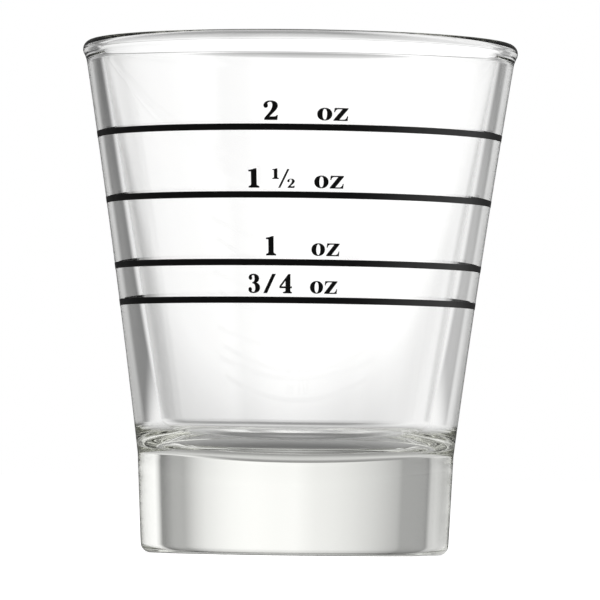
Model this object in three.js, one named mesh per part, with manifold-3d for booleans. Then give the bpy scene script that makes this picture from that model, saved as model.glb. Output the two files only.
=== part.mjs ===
// Coffee measuring glass: a clear pressed-glass beaker on a heavy solid foot, with four
// printed fluid ounce marks. Each mark is a half-turn line with its own figures above it.
// Millimetres, +Z up. The origin is on the glass's axis, at the level it stands on, and the
// print faces -Y.

import * as THREE from 'three';
import { mergeVertices } from 'three/addons/utils/BufferGeometryUtils.js';
import Module from 'manifold-3d';

// Foot, the solid glass under the bowl
const footHeight = 13.3; // from the table up to the knee, where the bowl starts to flare
const footDraft = 0.045; // radius lost for each millimetre below the knee
const footEdgeRadius = 1.3; // round between the foot's side and the standing ring
const standingRingWidth = 4.2; // flat ring that the glass stands on
const undersideRise = 0.5; // how far the middle of the underside arches off the table

// Bowl, measured from the knee upwards
const cavityRadius = 17.5; // the inner wall's line, carried down to the knee
const cavityTaper = 0.155; // radius gained for each millimetre above the knee
const rimFlare = 1.02; // radius that the rim has over the straight taper, gained in a curve
const wallAtKnee = 3.8; // wall thickness, measured level
const wallAtRim = 2.15;
const lipBulge = 0.28; // how far the lip stands out from the outer wall
const lipEaseRadius = 4; // hollow round that leads from the outer wall into the lip
const floorAboveKnee = 0.8; // height of the cavity floor's edge over the knee
const floorCornerRadius = 4.5; // round between the inner wall and the floor
const floorDishAngle = THREE.MathUtils.degToRad(12); // slope of the dished floor at its edge

// Marks, from the cavity floor's edge upwards
const firstMarkRise = 19.5; // from the floor's edge up to the lowest line
const secondMarkStep = 4.94; // from the lowest line up to the second
const thirdMarkStep = 8.84;
const topMarkStep = 8.83;
const rimAboveTopMark = 12.8;
const lineWidth = 0.85;
const lineReach = THREE.MathUtils.degToRad(89.5); // from the front to either end of a line

// Print on the glass
const printThickness = 0.15;
const printClearance = 0.05; // between the glass and the underside of the print
const figureGap = 0.45; // clear space between a line and the figures standing over it
const figureHeadroom = 1.1; // clear space over the figures in the tightest step
const letterHeight = 1.67;
const numeratorHeight = 1.39;
const denominatorHeight = 1.2;
const smallFigureStretch = 1.15; // the small figures of a fraction are drawn wider
const labelEnd = 6.3; // from the front round to the top label's right edge
const labelSlant = 0.02; // how far each label starts to the left, for each millimetre lower
const letterGap = 0.2;
const figureSpacing = 0.46; // between the figures and the slash of a written-out fraction
const fractionSpacing = 1.88; // between a whole number and the small fraction after it
const upperTuck = 0.12; // how far a fraction's upper figure reaches over its slash
const lowerTuck = 0.3; // how far its lower figure reaches under the slash
const wideWordGap = 5.1; // between a single figure and its unit
const narrowWordGap = 2.65; // between a fraction and its unit

// Fineness of the curves
const turnSteps = 64;
const profileSteps = 3;
const outlineSteps = 4;

const floorHeight = footHeight + floorAboveKnee;
const firstMark = floorHeight + firstMarkRise;
const secondMark = firstMark + secondMarkStep;
const thirdMark = secondMark + thirdMarkStep;
const topMark = thirdMark + topMarkStep;
const rimHeight = topMark + rimAboveTopMark;
const bowlHeight = rimHeight - footHeight;
const tightestStep = Math.min(secondMarkStep, thirdMarkStep, topMarkStep);
const figureHeight = tightestStep - lineWidth - figureGap - figureHeadroom;

const wasm = await Module();
wasm.setup();

const glassMaterial = new THREE.MeshStandardMaterial({
  name: 'clear_glass',
  color: 0xe8eeea,
  roughness: 0.04,
  metalness: 0,
  transparent: true,
  opacity: 0.35,
});
const printMaterial = new THREE.MeshStandardMaterial({
  name: 'black_enamel',
  color: 0x101010,
  roughness: 0.3,
  metalness: 0,
});

// Wall shape by height

function innerRadius(z) {
  const rise = z - footHeight;
  return cavityRadius + cavityTaper * rise + rimFlare * (rise / bowlHeight) ** 2;
}

function innerSlope(z) {
  return cavityTaper + (2 * rimFlare * (z - footHeight)) / bowlHeight ** 2;
}

const wallSlope = (wallAtRim - wallAtKnee) / bowlHeight;

function wallThickness(z) {
  return wallAtKnee + wallSlope * (z - footHeight);
}

function outerRadius(z) {
  return innerRadius(z) + wallThickness(z);
}

// Runs a profile along a wall that bends evenly from its last point to the given one.
function wallTo(profile, fromSlope, radius, z) {
  const start = profile.currentPoint;
  const halfRise = (z - start.y) / 2;
  profile.quadraticCurveTo(start.x + fromSlope * halfRise, start.y + halfRise, radius, z);
}

// Revolves a profile of (radius, height) points round +Z.
function revolve(points) {
  const geometry = new THREE.LatheGeometry(points, turnSteps);
  geometry.rotateX(Math.PI / 2);
  return geometry;
}

// Glass body

function makeGlassBody() {
  const quarter = Math.PI / 2;
  const profile = new THREE.Path();

  // Underside, arched between the axis and the standing ring
  const edgeHeight = footEdgeRadius;
  const footRadius = outerRadius(footHeight) - footDraft * (footHeight - edgeHeight);
  const ringOuter = footRadius - footEdgeRadius;
  const ringInner = ringOuter - standingRingWidth;
  const archRadius = (ringInner ** 2 + undersideRise ** 2) / (2 * undersideRise);
  const archAngle = Math.asin(ringInner / archRadius);
  profile.absarc(0, undersideRise - archRadius, archRadius, quarter, quarter - archAngle, true);

  // Standing ring, foot edge, foot side and knee
  profile.lineTo(ringOuter, 0);
  profile.absarc(ringOuter, edgeHeight, footEdgeRadius, -quarter, 0, false);
  profile.lineTo(outerRadius(footHeight), footHeight);

  // Size and place of the lip: flush with the inner wall, standing out from the outer wall
  const innerLean = Math.atan(innerSlope(rimHeight));
  const outerLean = Math.atan(innerSlope(rimHeight) + wallSlope);
  const innerReach = 1 / Math.cos(innerLean);
  const outerReach = 1 / Math.cos(outerLean);
  const lipWidth = wallAtRim + lipBulge * outerReach;
  const lipRadius = lipWidth / (innerReach + outerReach + wallSlope);
  const lipHeight = rimHeight - lipRadius;
  const lipMiddle = innerRadius(lipHeight) + lipRadius * innerReach;

  // Outer wall, eased by a hollow round into the lip
  const lipToEase = lipRadius + lipEaseRadius;
  const easeTurn = Math.acos(1 - lipBulge / lipToEase);
  const lipStart = -outerLean - easeTurn;
  const easeMiddle = lipMiddle + lipToEase * Math.cos(lipStart);
  const easeHeight = lipHeight + lipToEase * Math.sin(lipStart);
  const easeStart = Math.PI - outerLean;
  const wallTop = easeHeight + lipEaseRadius * Math.sin(easeStart);
  const wallTopRadius = easeMiddle + lipEaseRadius * Math.cos(easeStart);
  wallTo(profile, innerSlope(footHeight) + wallSlope, wallTopRadius, wallTop);
  profile.absarc(easeMiddle, easeHeight, lipEaseRadius, easeStart, easeStart - easeTurn, true);
  profile.absarc(lipMiddle, lipHeight, lipRadius, lipStart, Math.PI - innerLean, false);

  // Inner wall and floor corner, tangent to the wall and to the dished floor
  const cornerHeight = floorHeight + floorCornerRadius * Math.cos(floorDishAngle);
  const wallLean = Math.atan(innerSlope(cornerHeight));
  const wallFoot = cornerHeight - floorCornerRadius * Math.sin(wallLean);
  const cornerMiddle = innerRadius(wallFoot) - floorCornerRadius * Math.cos(wallLean);
  const innerTop = profile.currentPoint.y;
  wallTo(profile, innerSlope(innerTop), innerRadius(wallFoot), wallFoot);
  const cornerEnd = floorDishAngle - quarter;
  profile.absarc(cornerMiddle, cornerHeight, floorCornerRadius, -wallLean, cornerEnd, true);

  // Dished floor, back to the axis
  const dishEdge = cornerMiddle + floorCornerRadius * Math.sin(floorDishAngle);
  const dishRadius = dishEdge / Math.sin(floorDishAngle);
  const dishMiddle = floorHeight + dishRadius * Math.cos(floorDishAngle);
  profile.absarc(0, dishMiddle, dishRadius, cornerEnd, -quarter, true);

  const body = new THREE.Mesh(revolve(profile.getPoints(profileSteps)), glassMaterial);
  body.name = 'glass_body';
  return body;
}

// Solids for cutting the print to the glass

function toSolid(geometry) {
  geometry.deleteAttribute('normal');
  geometry.deleteAttribute('uv');
  const merged = mergeVertices(geometry);
  const vertProperties = new Float32Array(merged.attributes.position.array);
  const triVerts = new Uint32Array(merged.index.array);
  return new wasm.Manifold(new wasm.Mesh({ numProp: 3, vertProperties, triVerts }));
}

function toMesh(solid, name) {
  const { vertProperties, triVerts } = solid.getMesh();
  const geometry = new THREE.BufferGeometry();
  geometry.setAttribute('position', new THREE.BufferAttribute(vertProperties, 3));
  geometry.setIndex(new THREE.BufferAttribute(triVerts, 1));
  geometry.computeVertexNormals();
  const mesh = new THREE.Mesh(geometry, printMaterial);
  mesh.name = name;
  return mesh;
}

// A ring of print all round the outer wall, between two heights.
function printRing(low, high) {
  const inner = (z) => outerRadius(z) + printClearance;
  const outer = (z) => inner(z) + printThickness;
  const corners = [
    new THREE.Vector2(inner(low), low),
    new THREE.Vector2(outer(low), low),
    new THREE.Vector2(outer(high), high),
    new THREE.Vector2(inner(high), high),
    new THREE.Vector2(inner(low), low),
  ];
  return toSolid(revolve(corners));
}

// Marks: half-turn lines

function makeLine(name, height) {
  const sector = new THREE.Shape();
  const reach = 2 * outerRadius(rimHeight);
  const front = -Math.PI / 2;
  sector.moveTo(0, 0);
  sector.absarc(0, 0, reach, front - lineReach, front + lineReach, false);
  const slab = new THREE.ExtrudeGeometry(sector, { depth: rimHeight, bevelEnabled: false });
  const ring = printRing(height - lineWidth / 2, height + lineWidth / 2);
  return toMesh(ring.intersect(toSolid(slab)), name);
}

// Outlines of the figures, bold with thin joins, drawn from a baseline at y = 0 to y = 1

const outlines = {
  one() {
    const shape = new THREE.Shape();
    shape.moveTo(0, 0);
    shape.lineTo(0.55, 0);
    shape.lineTo(0.55, 0.09);
    shape.quadraticCurveTo(0.42, 0.1, 0.42, 0.2);
    shape.lineTo(0.42, 1);
    shape.lineTo(0.33, 1);
    shape.quadraticCurveTo(0.17, 0.93, 0, 0.92);
    shape.lineTo(0, 0.84);
    shape.lineTo(0.13, 0.83);
    shape.lineTo(0.13, 0.2);
    shape.quadraticCurveTo(0.13, 0.1, 0, 0.09);
    shape.closePath();
    return { shape, width: 0.55 };
  },

  two() {
    const shape = new THREE.Shape();
    shape.moveTo(0.03, 0);
    shape.lineTo(0.03, 0.09);
    shape.bezierCurveTo(0.2, 0.32, 0.45, 0.52, 0.45, 0.76);
    shape.bezierCurveTo(0.45, 0.88, 0.41, 0.93, 0.34, 0.93);
    shape.bezierCurveTo(0.27, 0.93, 0.22, 0.89, 0.2, 0.83);
    shape.bezierCurveTo(0.27, 0.74, 0.21, 0.62, 0.12, 0.62);
    shape.bezierCurveTo(0.05, 0.62, 0, 0.67, 0, 0.74);
    shape.bezierCurveTo(0, 0.9, 0.16, 1, 0.36, 1);
    shape.bezierCurveTo(0.58, 1, 0.73, 0.9, 0.73, 0.74);
    shape.bezierCurveTo(0.73, 0.54, 0.52, 0.42, 0.31, 0.18);
    shape.lineTo(0.5, 0.18);
    shape.bezierCurveTo(0.58, 0.18, 0.64, 0.2, 0.68, 0.26);
    shape.lineTo(0.73, 0.26);
    shape.lineTo(0.7, 0);
    shape.closePath();
    return { shape, width: 0.73 };
  },

  three() {
    const shape = new THREE.Shape();
    shape.moveTo(0, 0.19);
    shape.bezierCurveTo(0, 0.06, 0.13, 0, 0.3, 0);
    shape.bezierCurveTo(0.55, 0, 0.7, 0.12, 0.7, 0.29);
    shape.bezierCurveTo(0.7, 0.42, 0.61, 0.51, 0.49, 0.54);
    shape.bezierCurveTo(0.59, 0.58, 0.65, 0.66, 0.65, 0.76);
    shape.bezierCurveTo(0.65, 0.91, 0.51, 1, 0.32, 1);
    shape.bezierCurveTo(0.15, 1, 0.03, 0.92, 0.03, 0.8);
    shape.bezierCurveTo(0.03, 0.73, 0.08, 0.68, 0.14, 0.68);
    shape.bezierCurveTo(0.23, 0.68, 0.27, 0.76, 0.22, 0.84);
    shape.bezierCurveTo(0.22, 0.89, 0.25, 0.93, 0.3, 0.93);
    shape.bezierCurveTo(0.36, 0.93, 0.38, 0.87, 0.38, 0.76);
    shape.bezierCurveTo(0.38, 0.64, 0.34, 0.58, 0.24, 0.57);
    shape.lineTo(0.24, 0.5);
    shape.bezierCurveTo(0.36, 0.5, 0.41, 0.43, 0.41, 0.28);
    shape.bezierCurveTo(0.41, 0.13, 0.36, 0.07, 0.28, 0.07);
    shape.bezierCurveTo(0.22, 0.07, 0.19, 0.1, 0.19, 0.14);
    shape.bezierCurveTo(0.24, 0.21, 0.19, 0.31, 0.11, 0.31);
    shape.bezierCurveTo(0.04, 0.31, 0, 0.26, 0, 0.19);
    return { shape, width: 0.7 };
  },

  four() {
    const shape = new THREE.Shape();
    shape.moveTo(0.21, 0);
    shape.lineTo(0.73, 0);
    shape.lineTo(0.73, 0.07);
    shape.quadraticCurveTo(0.64, 0.08, 0.64, 0.16);
    shape.lineTo(0.64, 0.26);
    shape.lineTo(0.73, 0.26);
    shape.lineTo(0.73, 0.36);
    shape.lineTo(0.64, 0.36);
    shape.lineTo(0.64, 1);
    shape.lineTo(0.52, 1);
    shape.lineTo(0, 0.38);
    shape.lineTo(0, 0.26);
    shape.lineTo(0.35, 0.26);
    shape.lineTo(0.35, 0.16);
    shape.quadraticCurveTo(0.35, 0.08, 0.21, 0.07);
    shape.closePath();
    const counter = new THREE.Path();
    counter.moveTo(0.12, 0.36);
    counter.lineTo(0.35, 0.36);
    counter.lineTo(0.35, 0.64);
    counter.closePath();
    shape.holes.push(counter);
    return { shape, width: 0.73 };
  },

  slash() {
    const shape = new THREE.Shape();
    shape.moveTo(0, 0);
    shape.lineTo(0.23, 0);
    shape.lineTo(0.78, 1);
    shape.lineTo(0.55, 1);
    shape.closePath();
    return { shape, width: 0.78 };
  },

  thinSlash() {
    const shape = new THREE.Shape();
    shape.moveTo(0, 0);
    shape.lineTo(0.12, 0);
    shape.lineTo(0.62, 0.97);
    shape.lineTo(0.5, 0.97);
    shape.closePath();
    return { shape, width: 0.62 };
  },

  letterO() {
    const shape = new THREE.Shape();
    shape.moveTo(0, 0.5);
    shape.bezierCurveTo(0, 0.2, 0.26, 0, 0.59, 0);
    shape.bezierCurveTo(0.92, 0, 1.18, 0.2, 1.18, 0.5);
    shape.bezierCurveTo(1.18, 0.8, 0.92, 1, 0.59, 1);
    shape.bezierCurveTo(0.26, 1, 0, 0.8, 0, 0.5);
    const counter = new THREE.Path();
    counter.moveTo(0.42, 0.5);
    counter.bezierCurveTo(0.42, 0.74, 0.48, 0.92, 0.58, 0.92);
    counter.bezierCurveTo(0.7, 0.92, 0.77, 0.74, 0.77, 0.5);
    counter.bezierCurveTo(0.77, 0.26, 0.71, 0.08, 0.61, 0.08);
    counter.bezierCurveTo(0.49, 0.08, 0.42, 0.26, 0.42, 0.5);
    shape.holes.push(counter);
    return { shape, width: 1.18 };
  },

  letterZ() {
    const shape = new THREE.Shape();
    shape.moveTo(0, 0);
    shape.lineTo(0, 0.07);
    shape.lineTo(0.66, 0.9);
    shape.lineTo(0.36, 0.9);
    shape.quadraticCurveTo(0.16, 0.9, 0.1, 0.66);
    shape.lineTo(0.03, 0.66);
    shape.lineTo(0.06, 1);
    shape.lineTo(1.12, 1);
    shape.lineTo(1.12, 0.93);
    shape.lineTo(0.46, 0.1);
    shape.lineTo(0.76, 0.1);
    shape.quadraticCurveTo(1, 0.1, 1.05, 0.38);
    shape.lineTo(1.12, 0.38);
    shape.lineTo(1.09, 0);
    shape.closePath();
    return { shape, width: 1.12 };
  },
};

// Cuts one figure out of the ring of print, in the plane that touches the glass at its angle.
function makeFigure(name, figure, narrowing, angle, baseline, ring) {
  const { outline, height, stretch = 1 } = figure;
  const right = new THREE.Vector3(Math.cos(angle), Math.sin(angle), 0);
  const up = new THREE.Vector3(0, 0, 1);
  const outward = new THREE.Vector3(Math.sin(angle), -Math.cos(angle), 0);
  const depth = outerRadius(rimHeight);
  const prism = new THREE.ExtrudeGeometry(outline.shape, {
    depth,
    bevelEnabled: false,
    curveSegments: outlineSteps,
  });
  prism.translate(-outline.width / 2, 0, depth / 2);
  prism.scale(height * stretch * narrowing, height, 1);
  const frame = new THREE.Matrix4().makeBasis(right, up, outward);
  frame.setPosition(0, 0, baseline);
  prism.applyMatrix4(frame);
  return toMesh(ring.intersect(toSolid(prism)), name);
}

// Labels, each listed from its right end to its left, with the gap on every figure's right side

function fullFigure(part, outline, gap) {
  return { part, outline, gap, height: figureHeight };
}

function smallFigure(part, outline, gap, height, lift) {
  return { part, outline, gap, height, lift, stretch: smallFigureStretch };
}

const unit = [
  { part: 'letter_z', outline: outlines.letterZ(), gap: 0, height: letterHeight },
  { part: 'letter_o', outline: outlines.letterO(), gap: letterGap, height: letterHeight },
];
const numeratorLift = figureHeight - numeratorHeight;

const marks = [
  {
    name: 'three_quarter_ounce',
    height: firstMark,
    figures: [
      ...unit,
      fullFigure('figure_4', outlines.four(), narrowWordGap),
      fullFigure('slash', outlines.slash(), figureSpacing),
      fullFigure('figure_3', outlines.three(), figureSpacing),
    ],
  },
  {
    name: 'one_ounce',
    height: secondMark,
    figures: [...unit, fullFigure('figure_1', outlines.one(), wideWordGap)],
  },
  {
    name: 'one_and_half_ounce',
    height: thirdMark,
    figures: [
      ...unit,
      smallFigure('lower_2', outlines.two(), narrowWordGap, denominatorHeight, 0),
      fullFigure('slash', outlines.thinSlash(), -lowerTuck),
      smallFigure('upper_1', outlines.one(), -upperTuck, numeratorHeight, numeratorLift),
      fullFigure('figure_1', outlines.one(), fractionSpacing),
    ],
  },
  {
    name: 'two_ounce',
    height: topMark,
    figures: [...unit, fullFigure('figure_2', outlines.two(), wideWordGap)],
  },
];

// The print narrows with the glass, so every label keeps its angles round the axis.
function makeMark({ name, height, figures }) {
  const group = new THREE.Group();
  group.add(makeLine(`${name}_line`, height));

  const topRadius = outerRadius(topMark);
  const narrowing = outerRadius(height) / topRadius;
  const baseline = height + lineWidth / 2 + figureGap;
  const ring = printRing(height, baseline + figureHeight + figureHeadroom);
  let edge = labelEnd - labelSlant * (topMark - height);
  for (const figure of figures) {
    const { part, outline, gap, lift = 0, stretch = 1 } = figure;
    const halfWidth = (outline.width * figure.height * stretch) / 2;
    const middle = edge - gap - halfWidth;
    const angle = middle / topRadius;
    group.add(makeFigure(`${name}_${part}`, figure, narrowing, angle, baseline + lift, ring));
    edge = middle - halfWidth;
  }
  return group;
}

const measuringGlass = new THREE.Group();
measuringGlass.name = 'measuring_glass';
measuringGlass.add(makeGlassBody());
marks.forEach((mark) => measuringGlass.add(makeMark(mark)));

export default measuringGlass;
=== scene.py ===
from math import acos, asin, atan, cos, degrees, pi, radians, sin

import bmesh
import bpy
from mathutils import Matrix, Vector


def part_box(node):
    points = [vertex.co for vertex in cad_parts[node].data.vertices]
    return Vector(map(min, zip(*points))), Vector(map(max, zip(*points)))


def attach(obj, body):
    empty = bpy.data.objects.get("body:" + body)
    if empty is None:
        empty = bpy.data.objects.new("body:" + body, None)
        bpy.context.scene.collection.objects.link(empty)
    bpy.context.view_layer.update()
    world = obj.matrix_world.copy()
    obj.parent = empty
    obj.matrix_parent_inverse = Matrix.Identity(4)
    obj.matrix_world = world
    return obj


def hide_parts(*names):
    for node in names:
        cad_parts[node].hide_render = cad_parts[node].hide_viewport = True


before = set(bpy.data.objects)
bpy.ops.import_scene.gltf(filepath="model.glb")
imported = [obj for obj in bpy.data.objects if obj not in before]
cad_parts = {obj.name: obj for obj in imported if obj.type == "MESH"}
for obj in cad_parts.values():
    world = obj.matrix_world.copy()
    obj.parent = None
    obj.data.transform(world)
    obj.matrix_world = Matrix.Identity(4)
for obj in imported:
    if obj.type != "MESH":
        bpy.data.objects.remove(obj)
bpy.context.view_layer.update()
mm = 0.001
scene = bpy.context.scene
print("frame loaded:", len(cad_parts), "nodes")


# small helpers for node trees

def addNode(tree, kind, settings=None, **inputs):
    node = tree.nodes.new(kind)
    for key, value in (settings or {}).items():
        setattr(node, key, value)
    for key, value in inputs.items():
        plug(tree, node.inputs[int(key[1:]) if key[1:].isdigit() else key.replace("_", " ")], value)
    return node


def plug(tree, socket, value):
    if isinstance(value, bpy.types.NodeSocket):
        tree.links.new(value, socket)
    else:
        socket.default_value = value


def mathNode(tree, operation, first, second=0.0):
    settings = {"operation": operation}
    return addNode(tree, "ShaderNodeMath", settings, i0=first, i1=second).outputs[0]


def addVectors(tree, first, second):
    settings = {"operation": "ADD"}
    return addNode(tree, "ShaderNodeVectorMath", settings, i0=first, i1=second).outputs[0]


def scaleVector(tree, vector, length):
    settings = {"operation": "SCALE"}
    return addNode(tree, "ShaderNodeVectorMath", settings, i0=vector, Scale=length).outputs[0]


def noiseNode(tree, place, scale, detail):
    node = addNode(tree, "ShaderNodeTexNoise", Vector=place, Scale=scale, Detail=detail)
    return node.outputs["Fac"]


def mapRange(tree, value, span, results):
    (start, full), (low, high) = span, results
    node = addNode(tree, "ShaderNodeMapRange", i0=value, i1=start, i2=full, i3=low, i4=high)
    return node.outputs[0]


def mixShade(tree, share, first, second):
    mix = addNode(tree, "ShaderNodeMix", {"data_type": "RGBA"}, i0=share)
    plug(tree, mix.inputs[6], first)
    plug(tree, mix.inputs[7], second)
    return mix.outputs[2]


def mixFloat(tree, share, first, second):
    settings = {"data_type": "FLOAT"}
    return addNode(tree, "ShaderNodeMix", settings, i0=share, i2=first, i3=second).outputs[0]


def smoothStep(tree, value, start, full):
    settings = {"interpolation_type": "SMOOTHSTEP"}
    return addNode(tree, "ShaderNodeMapRange", settings, i0=value, i1=start, i2=full).outputs[0]


def newNodeGroup(name, inputs):
    tree = bpy.data.node_groups.new(name, "GeometryNodeTree")
    tree.interface.new_socket("Geometry", in_out="OUTPUT", socket_type="NodeSocketGeometry")
    for label, kind in inputs:
        tree.interface.new_socket(label, in_out="INPUT", socket_type="NodeSocket" + kind)
    given = {socket.name: socket for socket in tree.nodes.new("NodeGroupInput").outputs}
    return tree, given, tree.nodes.new("NodeGroupOutput")


def finishGroup(tree, groupOutput, geometry, material):
    solid = addNode(tree, "GeometryNodeRealizeInstances", Geometry=geometry).outputs[0]
    finished = addNode(tree, "GeometryNodeSetMaterial", Geometry=solid, Material=material)
    tree.links.new(finished.outputs[0], groupOutput.inputs[0])


# points this close are made one, and slivers this thin are dropped
meshTidy = {
    "mergeWithin": 0.0005 * mm,
    "dropUnder": 0.0002 * mm,
}


# runs a tree on a start mesh and keeps the result as a plain mesh

def makePiece(name, startMesh, tree, sizes, sharpAngle):
    piece = bpy.data.objects.new(name, startMesh)
    scene.collection.objects.link(piece)
    modifier = piece.modifiers.new("shape", "NODES")
    modifier.node_group = tree
    for item in tree.interface.items_tree:
        if item.in_out == "INPUT" and item.name in sizes:
            modifier[item.identifier] = sizes[item.name]
    view = bpy.context.evaluated_depsgraph_get()
    shaped = bpy.data.meshes.new_from_object(piece.evaluated_get(view), depsgraph=view)
    piece.modifiers.clear()
    piece.data = shaped
    shaped.name = name
    tidyMesh(shaped, sharpAngle)
    return piece


def tidyMesh(mesh, sharpAngle):
    work = bmesh.new()
    work.from_mesh(mesh)
    bmesh.ops.remove_doubles(work, verts=work.verts, dist=meshTidy["mergeWithin"])
    bmesh.ops.dissolve_degenerate(work, edges=work.edges, dist=meshTidy["dropUnder"])
    bmesh.ops.recalc_face_normals(work, faces=work.faces)
    for face in work.faces:
        face.smooth = True
    openEdges = sum(1 for edge in work.edges if not edge.is_manifold)
    volume = work.calc_volume(signed=True)
    work.to_mesh(mesh)
    work.free()
    mesh.set_sharp_from_angle(angle=sharpAngle)
    print("  ", mesh.name, len(mesh.polygons), "faces,", openEdges, "open edges,",
          round(volume / mm ** 3, 2), "mm3")


def keepPiece(piece, node):
    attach(piece, "root")
    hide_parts(node)


# pressed glass: clear, a breath of green, faint mould ripple and wiping haze

pressedGlass = {
    "ior": 1.52,
    "tint": (0.82, 0.825, 0.785, 1),
    "tintDensity": 20,  # per metre of glass
    "rippleScale": 70,  # per metre
    "rippleDetail": 1,
    "rippleDepth": 0.012 * mm,
    "hazeScale": 140,
    "hazeDetail": 3,
    "hazeRange": (0.4, 0.75),  # part of its noise over which the haze comes in
    "roughness": (0.0, 0.012),
}


def makeGlassMaterial(size):
    material = bpy.data.materials.new("pressedGlass")
    material.use_nodes = True
    tree = material.node_tree
    shader = tree.nodes["Principled BSDF"]
    shader.inputs["Base Color"].default_value = (1, 1, 1, 1)
    shader.inputs["Transmission Weight"].default_value = 1
    shader.inputs["IOR"].default_value = size["ior"]
    place = addNode(tree, "ShaderNodeTexCoord").outputs["Object"]

    haze = noiseNode(tree, place, size["hazeScale"], size["hazeDetail"])
    roughness = mapRange(tree, haze, size["hazeRange"], size["roughness"])
    tree.links.new(roughness, shader.inputs["Roughness"])

    ripple = noiseNode(tree, place, size["rippleScale"], size["rippleDetail"])
    bump = addNode(tree, "ShaderNodeBump", Height=ripple, Distance=size["rippleDepth"])
    tree.links.new(bump.outputs[0], shader.inputs["Normal"])

    tint = addNode(tree, "ShaderNodeVolumeAbsorption",
                   Color=size["tint"], Density=size["tintDensity"])
    tree.links.new(tint.outputs[0], tree.nodes["Material Output"].inputs["Volume"])
    return material


# fired enamel: deep black, slightly uneven film with a soft gloss

firedEnamel = {
    "ior": 1.5,
    "thin": (0.003, 0.003, 0.003, 1),
    "full": (0.001, 0.001, 0.001, 1),
    "patchScale": 900,  # per metre
    "patchDetail": 4,
    "patchRange": (0.3, 0.7),  # part of its noise over which the gloss changes
    "grainScale": 9000,
    "grainDetail": 2,
    "grainDepth": 0.002 * mm,
    "roughness": (0.28, 0.42),
}


def makeEnamelMaterial(size):
    material = bpy.data.materials.new("firedEnamel")
    material.use_nodes = True
    tree = material.node_tree
    shader = tree.nodes["Principled BSDF"]
    shader.inputs["IOR"].default_value = size["ior"]
    place = addNode(tree, "ShaderNodeTexCoord").outputs["Object"]

    patch = noiseNode(tree, place, size["patchScale"], size["patchDetail"])
    colour = mixShade(tree, patch, size["thin"], size["full"])
    tree.links.new(colour, shader.inputs["Base Color"])
    roughness = mapRange(tree, patch, size["patchRange"], size["roughness"])
    tree.links.new(roughness, shader.inputs["Roughness"])

    grain = noiseNode(tree, place, size["grainScale"], size["grainDetail"])
    bump = addNode(tree, "ShaderNodeBump", Height=grain, Distance=size["grainDepth"])
    tree.links.new(bump.outputs[0], shader.inputs["Normal"])
    return material


glassFinish = makeGlassMaterial(pressedGlass)
enamelFinish = makeEnamelMaterial(firedEnamel)
print("finishes made")


# glass body: one profile turned round the axis

glassBody = {
    "footHeight": 13.3 * mm,  # table to knee
    "footDraft": 0.045,
    "footEdgeRadius": 1.3 * mm,
    "standingRingWidth": 4.2 * mm,
    "undersideRise": 0.5 * mm,
    "cavityRadius": 17.5 * mm,  # inner wall's line carried down to the knee
    "cavityTaper": 0.155,
    "rimFlare": 1.02 * mm,
    "wallAtKnee": 3.8 * mm,
    "wallAtRim": 2.15 * mm,
    "lipBulge": 0.28 * mm,  # lip standing out from the outer wall
    "lipEaseRadius": 4 * mm,  # hollow round under it
    "kneeRadius": 6 * mm,
    "floorAboveKnee": 0.8 * mm,
    "floorCornerRadius": 4.5 * mm,
    "floorDishAngle": radians(12),
    "stepsRound": 256,
    "wallSteps": 50,
    "arcSteps": 18,
    "spindle": 0.05 * mm,  # small circle that the profile is turned along
    "sharpAngle": radians(60),
}
glassBody["rimHeight"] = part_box("glass_body")[1].z
glassBody["bowlHeight"] = glassBody["rimHeight"] - glassBody["footHeight"]


def innerRadius(z, size=glassBody):
    rise = z - size["footHeight"]
    flare = size["rimFlare"] * (rise / size["bowlHeight"]) ** 2
    return size["cavityRadius"] + size["cavityTaper"] * rise + flare


def innerSlope(z, size=glassBody):
    rise = z - size["footHeight"]
    return size["cavityTaper"] + 2 * size["rimFlare"] * rise / size["bowlHeight"] ** 2


def wallSlope(size=glassBody):
    return (size["wallAtRim"] - size["wallAtKnee"]) / size["bowlHeight"]


def outerRadius(z, size=glassBody):
    return innerRadius(z) + size["wallAtKnee"] + wallSlope() * (z - size["footHeight"])


def arc(centre, radius, start, end, steps):
    turn = [start + (end - start) * step / steps for step in range(steps + 1)]
    return [(centre[0] + radius * cos(angle), centre[1] + radius * sin(angle)) for angle in turn]


# shares of the way along a run, close together at its ends so that the shading stays true

def easedShares(steps):
    return [(1 - cos(pi * step / steps)) / 2 for step in range(1, steps)]


def straight(start, end, steps):
    return [tuple(a + (b - a) * share for a, b in zip(start, end)) for share in easedShares(steps)]


def wallRun(radiusAt, low, high, steps):
    heights = [low + (high - low) * share for share in easedShares(steps)]
    return [(radiusAt(z), z) for z in heights]


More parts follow.
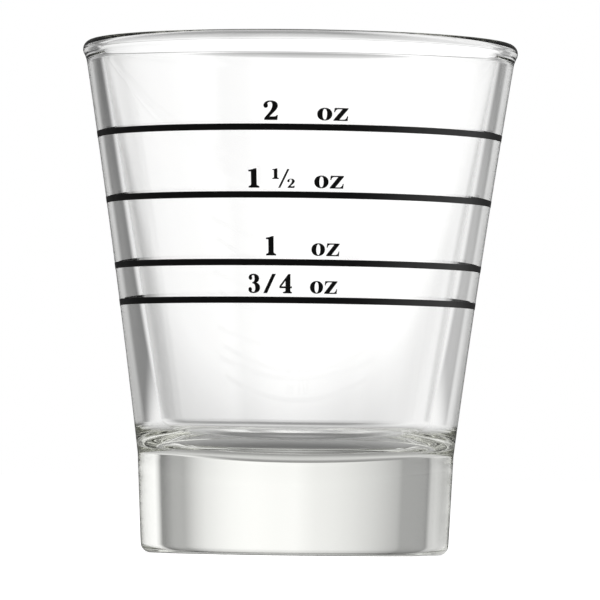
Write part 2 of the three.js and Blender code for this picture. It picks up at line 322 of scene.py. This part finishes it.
def glassProfile(size):
    quarter = pi / 2
    steps = size["arcSteps"]
    edge = size["footEdgeRadius"]
    kneeHeight = size["footHeight"]
    kneeOut = outerRadius(kneeHeight)

    # underside arch, standing ring, foot edge
    footLean = atan(size["footDraft"])
    footRadius = kneeOut - size["footDraft"] * (kneeHeight - edge)
    ringOuter = footRadius - edge
    ringInner = ringOuter - size["standingRingWidth"]
    rise = size["undersideRise"]
    archRadius = (ringInner ** 2 + rise ** 2) / (2 * rise)
    archAngle = asin(ringInner / archRadius)
    points = arc((0, rise - archRadius), archRadius, quarter, quarter - archAngle, 2 * steps)
    points += straight((ringInner, 0), (ringOuter, 0), steps)
    points += arc((ringOuter, edge), edge, -quarter, -footLean, steps)

    # foot side, knee eased by a wide round
    bowlLean = atan(innerSlope(kneeHeight) + wallSlope())
    reach = size["kneeRadius"] * (bowlLean - footLean) / 2
    kneeLow = (kneeOut - reach * sin(footLean), kneeHeight - reach * cos(footLean))
    kneeHigh = kneeHeight + reach * cos(bowlLean)
    ends = (kneeLow, (kneeOut, kneeHeight), (outerRadius(kneeHigh), kneeHigh))
    points += straight(points[-1], kneeLow, steps)
    for step in range(steps + 1):
        share = step / steps
        weights = ((1 - share) ** 2, 2 * share * (1 - share), share ** 2)
        points.append(tuple(sum(w * end[axis] for w, end in zip(weights, ends)) for axis in (0, 1)))

    # full round lip: flush with the inner wall, standing a little out from the outer one
    innerLean = atan(innerSlope(size["rimHeight"]))
    outerLean = atan(innerSlope(size["rimHeight"]) + wallSlope())
    lipWidth = size["wallAtRim"] + size["lipBulge"] / cos(outerLean)
    lipRadius = lipWidth / (1 / cos(innerLean) + 1 / cos(outerLean) + wallSlope())
    lipHeight = size["rimHeight"] - lipRadius
    lipMiddle = innerRadius(lipHeight) + lipRadius / cos(innerLean)

    # outer wall, eased by a hollow round into the lip
    lipToEase = lipRadius + size["lipEaseRadius"]
    easeTurn = acos(1 - size["lipBulge"] / lipToEase)
    lipStart = -outerLean - easeTurn
    easeMiddle = (lipMiddle + lipToEase * cos(lipStart), lipHeight + lipToEase * sin(lipStart))
    ease = arc(easeMiddle, size["lipEaseRadius"], pi - outerLean, pi + lipStart, steps)
    lip = arc((lipMiddle, lipHeight), lipRadius, lipStart, pi - innerLean, 3 * steps)
    points += wallRun(outerRadius, kneeHigh, ease[0][1], size["wallSteps"])
    points += ease + lip[1:]

    # inner wall, floor corner and dished floor, back to the axis
    corner = size["floorCornerRadius"]
    dish = size["floorDishAngle"]
    floorHeight = kneeHeight + size["floorAboveKnee"]
    cornerHeight = floorHeight + corner * cos(dish)
    cornerLean = atan(innerSlope(cornerHeight))
    wallFoot = cornerHeight - corner * sin(cornerLean)
    cornerMiddle = innerRadius(wallFoot) - corner * cos(cornerLean)
    points += wallRun(innerRadius, lip[-1][1], wallFoot, size["wallSteps"])
    points += arc((cornerMiddle, cornerHeight), corner, -cornerLean, dish - quarter, 2 * steps)
    dishRadius = (cornerMiddle + corner * sin(dish)) / sin(dish)
    dishMiddle = floorHeight + dishRadius * cos(dish)
    points += arc((0, dishMiddle), dishRadius, dish - quarter, -quarter, 2 * steps)[1:]
    return points


def profileMesh(points):
    mesh = bpy.data.meshes.new("glassProfile")
    verts = [(radius, 0, z) for radius, z in points]
    mesh.from_pydata(verts, [(step, step + 1) for step in range(len(verts) - 1)], [])
    return mesh


# turns a profile drawn in the XZ plane into a closed body

def makeTurningTree():
    tree, given, out = newNodeGroup("turnedGlass", [
        ("Profile", "Geometry"), ("Steps Round", "Int"), ("Spindle", "Float"),
        ("Finish", "Material")])
    line = addNode(tree, "GeometryNodeMeshToCurve", Mesh=given["Profile"]).outputs[0]
    inward = mathNode(tree, "MULTIPLY", given["Spindle"], -1)
    shift = addNode(tree, "ShaderNodeCombineXYZ", X=inward).outputs[0]
    flat = addNode(tree, "GeometryNodeTransform", Geometry=line,
                   Rotation=(pi / 2, 0, 0), Translation=shift)
    path = addNode(tree, "GeometryNodeCurvePrimitiveCircle",
                   Resolution=given["Steps Round"], Radius=given["Spindle"])
    shell = addNode(tree, "GeometryNodeCurveToMesh", Curve=path.outputs[0], i1=flat.outputs[0])
    closed = addNode(tree, "GeometryNodeMergeByDistance",
                     Geometry=shell.outputs[0], Distance=meshTidy["mergeWithin"])
    smooth = addNode(tree, "GeometryNodeSetShadeSmooth", Geometry=closed.outputs[0])
    finishGroup(tree, out, smooth.outputs[0], given["Finish"])
    return tree


profileLine = profileMesh(glassProfile(glassBody))
glass = makePiece("measuringGlass", profileLine, makeTurningTree(), {
    "Steps Round": glassBody["stepsRound"],
    "Spindle": glassBody["spindle"],
    "Finish": glassFinish,
}, glassBody["sharpAngle"])
print("glass body turned")


# print: flat artwork laid on the glass as a thin film

printFilm = {
    "proud": 0.03 * mm,  # film standing off the glass
    "sunk": 0.03 * mm,  # film's underside inside the glass, so no gap shows
    "lineReach": radians(89.5),  # from the front to either end of a line
    "lineSteps": 240,
    "lineRows": 3,
    "curveSteps": 10,
    "startOut": 2,  # radii from the axis to where the rays that find the glass start
    "sharpAngle": radians(40),
}
filmInputs = [("Glass", "Object"), ("Angle", "Float"), ("Height", "Float"), ("Radius", "Float"),
              ("Proud", "Float"), ("Sunk", "Float")]


# lays a flat mesh on the glass: x runs round it, y runs up it

def makeFilmTree():
    tree, given, out = newNodeGroup("layOnGlass", [("Artwork", "Geometry"), *filmInputs])
    thickness = mathNode(tree, "ADD", given["Proud"], given["Sunk"])
    top = addNode(tree, "GeometryNodeExtrudeMesh", {"mode": "FACES"}, Mesh=given["Artwork"],
                  Offset=(0, 0, 1), Offset_Scale=thickness, Individual=False)
    under = addNode(tree, "GeometryNodeFlipFaces", Mesh=given["Artwork"])
    both = addNode(tree, "GeometryNodeJoinGeometry", Geometry=top.outputs[0])
    tree.links.new(under.outputs[0], both.inputs[0])
    film = addNode(tree, "GeometryNodeMergeByDistance",
                   Geometry=both.outputs[0], Distance=meshTidy["mergeWithin"])

    place = addNode(tree, "GeometryNodeInputPosition").outputs[0]
    across, up, off = addNode(tree, "ShaderNodeSeparateXYZ", Vector=place).outputs
    turn = mathNode(tree, "ADD", mathNode(tree, "DIVIDE", across, given["Radius"]), given["Angle"])
    side = mathNode(tree, "SINE", turn)
    front = mathNode(tree, "MULTIPLY", mathNode(tree, "COSINE", turn), -1)
    outward = addNode(tree, "ShaderNodeCombineXYZ", X=side, Y=front).outputs[0]
    height = mathNode(tree, "ADD", given["Height"], up)
    level = addNode(tree, "ShaderNodeCombineXYZ", Z=height).outputs[0]
    startOut = mathNode(tree, "MULTIPLY", given["Radius"], printFilm["startOut"])
    start = addVectors(tree, scaleVector(tree, outward, startOut), level)
    target = addNode(tree, "GeometryNodeObjectInfo", Object=given["Glass"])
    hit = addNode(tree, "GeometryNodeRaycast", i0=target.outputs["Geometry"],
                  Source_Position=start, Ray_Direction=scaleVector(tree, outward, -1),
                  Ray_Length=startOut)
    offGlass = mathNode(tree, "SUBTRACT", off, given["Sunk"])
    lift = scaleVector(tree, hit.outputs["Hit Normal"], offGlass)
    seat = addVectors(tree, hit.outputs["Hit Position"], lift)
    laid = addNode(tree, "GeometryNodeSetPosition", Geometry=film.outputs[0], Position=seat)
    tree.links.new(laid.outputs[0], out.inputs[0])
    return tree


def layFilm(tree, layTree, given, artwork):
    group = addNode(tree, "GeometryNodeGroup", {"node_tree": layTree}, Artwork=artwork)
    for label, _ in filmInputs:
        tree.links.new(given[label], group.inputs[label])
    return group.outputs[0]


def makeLineTree(layTree):
    tree, given, out = newNodeGroup("printedLine", [
        ("Start", "Geometry"), ("Length", "Float"), ("Line Width", "Float"), ("Steps", "Int"),
        ("Rows", "Int"), *filmInputs, ("Finish", "Material")])
    strip = addNode(tree, "GeometryNodeMeshGrid",
                    Size_X=given["Length"], Size_Y=given["Line Width"],
                    Vertices_X=given["Steps"], Vertices_Y=given["Rows"])
    finishGroup(tree, out, layFilm(tree, layTree, given, strip.outputs[0]), given["Finish"])
    return tree


def makeFigureTree(layTree):
    tree, given, out = newNodeGroup("printedFigure", [
        ("Start", "Geometry"), ("Outline", "Object"), ("Figure Width", "Float"),
        ("Figure Height", "Float"), *filmInputs, ("Finish", "Material")])
    outline = addNode(tree, "GeometryNodeObjectInfo", Object=given["Outline"])
    size = addNode(tree, "ShaderNodeCombineXYZ",
                   X=given["Figure Width"], Y=given["Figure Height"], Z=1.0)
    sized = addNode(tree, "GeometryNodeTransform",
                    Geometry=outline.outputs["Geometry"], Scale=size.outputs[0])
    filled = addNode(tree, "GeometryNodeFillCurve", Curve=sized.outputs[0])
    finishGroup(tree, out, layFilm(tree, layTree, given, filled.outputs[0]), given["Finish"])
    return tree


layTree = makeFilmTree()
lineTree = makeLineTree(layTree)
figureTree = makeFigureTree(layTree)
markNames = ["three_quarter_ounce", "one_ounce", "one_and_half_ounce", "two_ounce"]
filmSizes = {
    "Glass": glass,
    "Proud": printFilm["proud"],
    "Sunk": printFilm["sunk"],
    "Finish": enamelFinish,
}


def printLine(node):
    low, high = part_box(node)
    height = (low.z + high.z) / 2
    radius = outerRadius(height)
    return makePiece("print_" + node, bpy.data.meshes.new(node), lineTree, {
        **filmSizes,
        "Length": 2 * printFilm["lineReach"] * radius,
        "Line Width": high.z - low.z,
        "Steps": printFilm["lineSteps"],
        "Rows": printFilm["lineRows"],
        "Angle": 0.0,
        "Height": height,
        "Radius": radius,
    }, printFilm["sharpAngle"])


for mark in markNames:
    line = printLine(mark + "_line")
    keepPiece(line, mark + "_line")
print("lines printed:", len(markNames))


# figure outlines, one unit tall: a pair is a corner, four numbers a bend with one
# handle, six a bend with two, each ending on its last pair

outlines = {
    "one": [[
        (0, 0), (0.55, 0), (0.55, 0.09), (0.42, 0.1, 0.42, 0.2), (0.42, 1), (0.33, 1),
        (0.17, 0.93, 0, 0.92), (0, 0.84), (0.13, 0.83), (0.13, 0.2), (0.13, 0.1, 0, 0.09),
    ]],
    "two": [[
        (0.03, 0), (0.03, 0.09), (0.2, 0.32, 0.45, 0.52, 0.45, 0.76),
        (0.45, 0.88, 0.41, 0.93, 0.34, 0.93), (0.27, 0.93, 0.22, 0.89, 0.2, 0.83),
        (0.27, 0.74, 0.21, 0.62, 0.12, 0.62), (0.05, 0.62, 0, 0.67, 0, 0.74),
        (0, 0.9, 0.16, 1, 0.36, 1), (0.58, 1, 0.73, 0.9, 0.73, 0.74),
        (0.73, 0.54, 0.52, 0.42, 0.31, 0.18), (0.5, 0.18), (0.58, 0.18, 0.64, 0.2, 0.68, 0.26),
        (0.73, 0.26), (0.7, 0),
    ]],
    "three": [[
        (0, 0.19), (0, 0.06, 0.13, 0, 0.3, 0), (0.55, 0, 0.7, 0.12, 0.7, 0.29),
        (0.7, 0.42, 0.61, 0.51, 0.49, 0.54), (0.59, 0.58, 0.65, 0.66, 0.65, 0.76),
        (0.65, 0.91, 0.51, 1, 0.32, 1), (0.15, 1, 0.03, 0.92, 0.03, 0.8),
        (0.03, 0.73, 0.08, 0.68, 0.14, 0.68), (0.23, 0.68, 0.27, 0.76, 0.22, 0.84),
        (0.22, 0.89, 0.25, 0.93, 0.3, 0.93), (0.36, 0.93, 0.38, 0.87, 0.38, 0.76),
        (0.38, 0.64, 0.34, 0.58, 0.24, 0.57), (0.24, 0.5), (0.36, 0.5, 0.41, 0.43, 0.41, 0.28),
        (0.41, 0.13, 0.36, 0.07, 0.28, 0.07), (0.22, 0.07, 0.19, 0.1, 0.19, 0.14),
        (0.24, 0.21, 0.19, 0.31, 0.11, 0.31), (0.04, 0.31, 0, 0.26, 0, 0.19),
    ]],
    "four": [[
        (0.21, 0), (0.73, 0), (0.73, 0.07), (0.64, 0.08, 0.64, 0.16), (0.64, 0.26), (0.73, 0.26),
        (0.73, 0.36), (0.64, 0.36), (0.64, 1), (0.52, 1), (0, 0.38), (0, 0.26), (0.35, 0.26),
        (0.35, 0.16), (0.35, 0.08, 0.21, 0.07),
    ], [(0.12, 0.36), (0.35, 0.36), (0.35, 0.64)]],
    "slash": [[(0, 0), (0.23, 0), (0.78, 1), (0.55, 1)]],
    "thinSlash": [[(0, 0), (0.12, 0), (0.62, 0.97), (0.5, 0.97)]],
    "letterO": [[
        (0, 0.5), (0, 0.2, 0.26, 0, 0.59, 0), (0.92, 0, 1.18, 0.2, 1.18, 0.5),
        (1.18, 0.8, 0.92, 1, 0.59, 1), (0.26, 1, 0, 0.8, 0, 0.5),
    ], [
        (0.42, 0.5), (0.42, 0.74, 0.48, 0.92, 0.58, 0.92), (0.7, 0.92, 0.77, 0.74, 0.77, 0.5),
        (0.77, 0.26, 0.71, 0.08, 0.61, 0.08), (0.49, 0.08, 0.42, 0.26, 0.42, 0.5),
    ]],
    "letterZ": [[
        (0, 0), (0, 0.07), (0.66, 0.9), (0.36, 0.9), (0.16, 0.9, 0.1, 0.66), (0.03, 0.66),
        (0.06, 1), (1.12, 1), (1.12, 0.93), (0.46, 0.1), (0.76, 0.1), (1, 0.1, 1.05, 0.38),
        (1.12, 0.38), (1.09, 0),
    ]],
}


def bendHandles(start, step):
    ends = [Vector(start), Vector(step[-2:])]
    if len(step) == 6:
        return Vector(step[:2]), Vector(step[2:4])
    if len(step) == 4:
        middle = Vector(step[:2])
        return tuple(end + (middle - end) * 2 / 3 for end in ends)
    return ends[0].lerp(ends[1], 1 / 3), ends[0].lerp(ends[1], 2 / 3)


def drawOutline(name, loops):
    curve = bpy.data.curves.new(name, "CURVE")
    curve.dimensions = "2D"
    curve.fill_mode = "NONE"
    corners = [Vector(step[-2:]) for loop in loops for step in loop]
    low = Vector((min(c.x for c in corners), min(c.y for c in corners)))
    size = Vector((max(c.x for c in corners), max(c.y for c in corners))) - low

    def fit(spot):
        return ((spot.x - low.x) / size.x - 0.5, (spot.y - low.y) / size.y, 0)

    for loop in loops:
        steps = loop if loop[0] == loop[-1][-2:] else [*loop, loop[0]]
        spline = curve.splines.new("BEZIER")
        spline.bezier_points.add(len(steps) - 2)
        spline.use_cyclic_u = True
        spline.resolution_u = printFilm["curveSteps"]
        points = spline.bezier_points
        for point in points:
            point.handle_left_type = point.handle_right_type = "FREE"
        for index, step in enumerate(steps[1:]):
            first, second = bendHandles(steps[index][-2:], step)
            here, there = points[index], points[(index + 1) % len(points)]
            here.co = fit(Vector(steps[index][-2:]))
            here.handle_right = fit(first)
            there.handle_left = fit(second)
    outline = bpy.data.objects.new(name, curve)
    scene.collection.objects.link(outline)
    return outline


figureLists = {
    "three_quarter_ounce": {"figure_3": "three", "slash": "slash", "figure_4": "four"},
    "one_ounce": {"figure_1": "one"},
    "one_and_half_ounce": {
        "figure_1": "one", "upper_1": "one", "slash": "thinSlash", "lower_2": "two",
    },
    "two_ounce": {"figure_2": "two"},
}
unitLetters = {"letter_o": "letterO", "letter_z": "letterZ"}
drawn = {name: drawOutline("outline_" + name, loops) for name, loops in outlines.items()}


def printFigure(node, outline):
    low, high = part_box(node)
    radius = outerRadius((low.z + high.z) / 2)
    angle = asin((low.x + high.x) / 2 / radius)
    return makePiece("print_" + node, bpy.data.meshes.new(node), figureTree, {
        **filmSizes,
        "Outline": outline,
        "Figure Width": (high.x - low.x) / cos(angle),
        "Figure Height": high.z - low.z,
        "Angle": angle,
        "Height": low.z,
        "Radius": radius,
    }, printFilm["sharpAngle"])


for mark in markNames:
    for part, outlineName in {**figureLists[mark], **unitLetters}.items():
        figure = printFigure(mark + "_" + part, drawn[outlineName])
        keepPiece(figure, mark + "_" + part)
for outline in drawn.values():
    bpy.data.objects.remove(outline)
keepPiece(glass, "glass_body")
print("figures printed")


# studio: white sweep with grey cards that only the glass shows, soft lamps

studio = {
    "floorSize": 12.0,
    "floorDrop": 0.02 * mm,  # just under the standing ring
    "floorColour": (0.82, 0.82, 0.82, 1),
    "floorGlow": 0.6,  # for the camera only
    "plainLevel": 0.55,  # surround's light on dull surfaces
    "lampAim": Vector((0, 0, 35 * mm)),
}
lamps = {
    "keyLamp": {"place": Vector((0.45, -0.35, 0.5)), "width": 0.4, "power": 3.0},
    "fillLamp": {"place": Vector((-0.5, -0.2, 0.5)), "width": 0.5, "power": 1.2},
}
rightAngle = 90  # degrees

# cards: shade by degrees away from straight ahead or straight behind
cards = {
    "brightest": 1.3,  # what a shade of 1 gives
    "rightShades": [(0, 0.91), (5, 0.91), (10, 0.93), (13, 0.92), (17, 0.88), (20, 0.83),
                    (25, 0.73), (29, 0.59), (32, 0.46), (34, 0.38), (37, 0.38), (40, 0.36),
                    (46, 0.22), (48, 0.22), (51, 0.73), (54, 1), (90, 1)],
    "leftShades": [(0, 0.91), (5, 0.81), (10, 0.77), (15, 0.7), (21, 0.59), (30, 0.4), (32, 0.3),
                   (40, 0.28), (44, 0.26), (47, 0.21), (50, 0.48), (55, 0.55), (63, 0.48),
                   (70, 0.6), (78, 0.95)],
    "mirrorDark": 0.08,  # what the gloss shows, apart from a panel on the right
    "mirrorRight": 0.75,
    "mirrorPanel": (35, 75),  # degrees over which that panel comes in
}

# overhead: shade by degrees up, behind the glass and in front of it
overhead = {
    "behind": [(0, 1), (12, 1), (28, 0.72), (37, 0.3), (90, 0.28)],
    "front": [(0, 1), (90, 1)],
    "change": (-0.25, 0.1),  # how far back a ray points where one passes into the other
}

# painted table shade, which the floor glows only for rays through the glass: a painted shadow and a
# painted caustic ring by distance from the axis, in metres, and a painted dark band running back on
# either side
paintedTableShade = {
    "reach": 1.2,
    "behind": [(0, 0.2), (0.01, 0.18), (0.018, 0.25), (0.023, 0.36), (0.03, 0.6), (0.036, 0.78),
               (0.045, 0.75), (0.051, 0.5), (0.06, 0.4), (0.08, 0.34), (0.1, 0.31), (0.12, 0.32),
               (0.15, 0.42), (0.18, 0.52), (0.25, 0.63), (0.46, 0.75), (0.74, 0.9), (1.1, 1)],
    "around": [(0, 0.2), (0.01, 0.18), (0.014, 0.25), (0.018, 0.38), (0.03, 0.55), (0.06, 0.88),
               (0.12, 1), (1.2, 1)],
    "behindShare": [(0, 0), (48, 0), (66, 1), (98, 1), (110, 0)],  # by degrees round from the left
    "fade": (0.7, 1.9),  # where it passes into the cards' shades
    "bandInner": 0.035,  # where the band's two edges meet the cross axis
    "bandOuter": 0.07,
    "bandStart": (0.12, 0.2),  # distance over which the band comes in
    "outerEdge": (0.75, 0.58),  # metres sideways for each metre back
    "left": {
        "innerEdge": (0.2, 0.4),
        "shades": [(0, 0.24), (0.45, 0.25), (0.8, 0.16), (1.2, 0.16)],
    },
    "right": {
        "innerEdge": (0.32, 0.46),
        "shades": [(0, 0.5), (0.45, 0.5), (0.75, 0.28), (1.2, 0.28)],
    },
}


def grey(level):
    return (level, level, level, 1)


def shadeRamp(tree, value, shades, full):
    ramp = addNode(tree, "ShaderNodeValToRGB", i0=mathNode(tree, "DIVIDE", value, full))
    stops = ramp.color_ramp.elements
    for index, (place, shade) in enumerate(shades):
        stop = stops[index] if index < 2 else stops.new(place / full)
        stop.position = place / full
        stop.color = grey(shade)
    return mathNode(tree, "ADD", ramp.outputs[0], 0)


def asDegrees(tree, angle):
    return mathNode(tree, "DEGREES", angle)


# shade of the cards in a direction, through the glass and in its gloss

def makeCardGroup(look):
    tree = bpy.data.node_groups.new("cardShades", "ShaderNodeTree")
    tree.interface.new_socket("Away", in_out="INPUT", socket_type="NodeSocketVector")
    for label in ("Through", "Mirrored"):
        tree.interface.new_socket(label, in_out="OUTPUT", socket_type="NodeSocketFloat")
    away = tree.nodes.new("NodeGroupInput").outputs[0]
    x, y = addNode(tree, "ShaderNodeSeparateXYZ", Vector=away).outputs[:2]
    aside, ahead = mathNode(tree, "ABSOLUTE", x), mathNode(tree, "ABSOLUTE", y)
    turn = asDegrees(tree, mathNode(tree, "ARCTAN2", aside, ahead))
    isRight = mathNode(tree, "GREATER_THAN", x, 0)
    left = shadeRamp(tree, turn, look["leftShades"], rightAngle)
    right = shadeRamp(tree, turn, look["rightShades"], rightAngle)
    through = mathNode(tree, "MULTIPLY", mixFloat(tree, isRight, left, right), look["brightest"])
    panel = mathNode(tree, "MULTIPLY", smoothStep(tree, turn, *look["mirrorPanel"]), isRight)
    gloss = mixFloat(tree, panel, look["mirrorDark"], look["mirrorRight"])
    out = tree.nodes.new("NodeGroupOutput")
    tree.links.new(through, out.inputs[0])
    tree.links.new(gloss, out.inputs[1])
    return tree


# how far a floor point lies inside the painted dark band on one side, and the painted shade there

def makePaintedBand(tree, x, y, distance, paintedTable, side):
    across, back = mathNode(tree, "ABSOLUTE", x), mathNode(tree, "ABSOLUTE", y)
    shares = [smoothStep(tree, distance, *paintedTable["bandStart"])]
    inner, outer = (paintedTable["bandInner"], side["innerEdge"]), (paintedTable["bandOuter"], paintedTable["outerEdge"])
    for offset, edge in (inner, outer):
        lean = mathNode(tree, "DIVIDE", mathNode(tree, "SUBTRACT", across, offset), back)
        shares.append(smoothStep(tree, lean, *edge))
    share = mathNode(tree, "MULTIPLY", mathNode(tree, "MULTIPLY", *shares[:2]), shares[2])
    return share, shadeRamp(tree, distance, side["shades"], paintedTable["reach"])


# painted shade round the glass: painted shadow near the foot, a painted caustic ring behind it,
# painted dark bands laid over
def makePaintedTableShade(tree, place, distance, paintedTable):
    x, y = addNode(tree, "ShaderNodeSeparateXYZ", Vector=place).outputs[:2]
    turn = mathNode(tree, "ADD", asDegrees(tree, mathNode(tree, "ARCTAN2", x, y)), rightAngle)
    share = shadeRamp(tree, turn, paintedTable["behindShare"], 2 * rightAngle)
    behind = shadeRamp(tree, distance, paintedTable["behind"], paintedTable["reach"])
    around = shadeRamp(tree, distance, paintedTable["around"], paintedTable["reach"])
    level = mixFloat(tree, share, around, behind)
    isRight = mathNode(tree, "GREATER_THAN", x, 0)
    bands = [makePaintedBand(tree, x, y, distance, paintedTable, paintedTable[name]) for name in ("left", "right")]
    inBand, paintedBandShade = (mixFloat(tree, isRight, *pair) for pair in zip(*bands))
    return mixFloat(tree, inBand, level, paintedBandShade)


# floor: lit white to the camera; to rays through the glass and in gloss it is not lit, it glows
# with painted shade
def makeFloor(size, paintedTable, cardGroup):
    bpy.ops.mesh.primitive_plane_add(size=size["floorSize"], location=(0, 0, -size["floorDrop"]))
    floor = bpy.context.object
    floor.name = "studioFloor"
    material = bpy.data.materials.new("studioFloor")
    material.use_nodes = True
    tree = material.node_tree
    shader = tree.nodes["Principled BSDF"]
    shader.inputs["Base Color"].default_value = size["floorColour"]
    shader.inputs["Roughness"].default_value = 1
    shader.inputs["Specular IOR Level"].default_value = 0
    shader.inputs["Emission Color"].default_value = (1, 1, 1, 1)
    path = addNode(tree, "ShaderNodeLightPath").outputs
    tree.links.new(mathNode(tree, "MULTIPLY", path["Is Camera Ray"], size["floorGlow"]),
                   shader.inputs["Emission Strength"])

    place = addNode(tree, "ShaderNodeTexCoord").outputs["Object"]
    shades = addNode(tree, "ShaderNodeGroup", {"node_tree": cardGroup}, Away=place).outputs
    span = addNode(tree, "ShaderNodeVectorMath", {"operation": "LENGTH"}, i0=place)
    distance = span.outputs["Value"]
    # painted shade for rays through the glass, passing far off into the cards' shades
    paintedNear = makePaintedTableShade(tree, place, distance, paintedTable)
    through = mixFloat(tree, smoothStep(tree, distance, *paintedTable["fade"]), paintedNear, shades["Through"])
    # in gloss the floor glows a painted reflection: dark, with a bright panel on the right
    seen = mixFloat(tree, path["Is Transmission Ray"], shades["Mirrored"], through)
    paintedGlow = addNode(tree, "ShaderNodeEmission", Strength=seen)
    inGlass = mathNode(tree, "MAXIMUM", path["Is Glossy Ray"], path["Is Transmission Ray"])
    either = addNode(tree, "ShaderNodeMixShader", i0=inGlass,
                     i1=shader.outputs[0], i2=paintedGlow.outputs[0])
    tree.links.new(either.outputs[0], tree.nodes["Material Output"].inputs["Surface"])
    floor.data.materials.append(material)


def makeSurround(size, look, cardGroup):
    world = bpy.data.worlds.new("studioSurround")
    scene.world = world
    world.use_nodes = True
    tree = world.node_tree
    ray = addNode(tree, "ShaderNodeTexCoord").outputs["Generated"]
    x, y, z = addNode(tree, "ShaderNodeSeparateXYZ", Vector=ray).outputs
    shades = addNode(tree, "ShaderNodeGroup", {"node_tree": cardGroup}, Away=ray).outputs
    up = asDegrees(tree, mathNode(tree, "ARCSINE", mathNode(tree, "MAXIMUM", z, 0)))
    isBehind = smoothStep(tree, y, *look["change"])
    front, behind = (shadeRamp(tree, up, look[name], rightAngle) for name in ("front", "behind"))
    through = mathNode(tree, "MULTIPLY", shades["Through"], mixFloat(tree, isBehind, front, behind))
    path = addNode(tree, "ShaderNodeLightPath").outputs
    shade = mixShade(tree, path["Is Glossy Ray"], grey(size["plainLevel"]), shades["Mirrored"])
    shade = mixShade(tree, path["Is Transmission Ray"], shade, through)
    shade = mixShade(tree, path["Is Camera Ray"], shade, grey(1))
    tree.links.new(shade, tree.nodes["Background"].inputs["Color"])


def makeLamp(name, size, aim):
    lamp = bpy.data.lights.new(name, "AREA")
    lamp.shape = "DISK"
    lamp.size = size["width"]
    lamp.energy = size["power"]
    holder = bpy.data.objects.new(name, lamp)
    scene.collection.objects.link(holder)
    holder.location = size["place"]
    holder.rotation_euler = (aim - size["place"]).to_track_quat("-Z", "Y").to_euler()
    holder.visible_transmission = False
    holder.visible_glossy = False


cardGroup = makeCardGroup(cards)
makeFloor(studio, paintedTableShade, cardGroup)
makeSurround(studio, overhead, cardGroup)
for name, lamp in lamps.items():
    makeLamp(name, lamp, studio["lampAim"])
print("studio lit")


camera = {
    "place": Vector((0, -880 * mm, 11.6 * mm)),
    "aim": Vector((0.34 * mm, 0, 34.24 * mm)),
    "lens": 391.1,
    "sensor": 36,
    "roll": radians(0.7),
    "clip": (0.05, 50),
}


def makeCamera(size):
    lens = bpy.data.cameras.new("photoCamera")
    lens.lens = size["lens"]
    lens.sensor_fit = "HORIZONTAL"
    lens.sensor_width = size["sensor"]
    lens.clip_start, lens.clip_end = size["clip"]
    holder = bpy.data.objects.new("photoCamera", lens)
    scene.collection.objects.link(holder)
    ahead = (size["aim"] - size["place"]).normalized()
    right = ahead.cross(Vector((0, 0, 1))).normalized()
    up = right.cross(ahead)
    turn, tilt = cos(size["roll"]), sin(size["roll"])
    rolledRight = right * turn + up * tilt
    rolledUp = up * turn - right * tilt
    rows = Matrix((rolledRight, rolledUp, -ahead)).transposed().to_4x4()
    holder.matrix_world = Matrix.Translation(size["place"]) @ rows
    scene.camera = holder


makeCamera(camera)
scene.view_settings.view_transform = "Standard"

# light turns many times inside the floor corner and the lip
lightBounces = 32
scene.cycles.max_bounces = lightBounces
scene.cycles.glossy_bounces = lightBounces
scene.cycles.transmission_bounces = lightBounces

print("size noted, camera", round(degrees(camera["roll"]), 2), "degrees of roll")
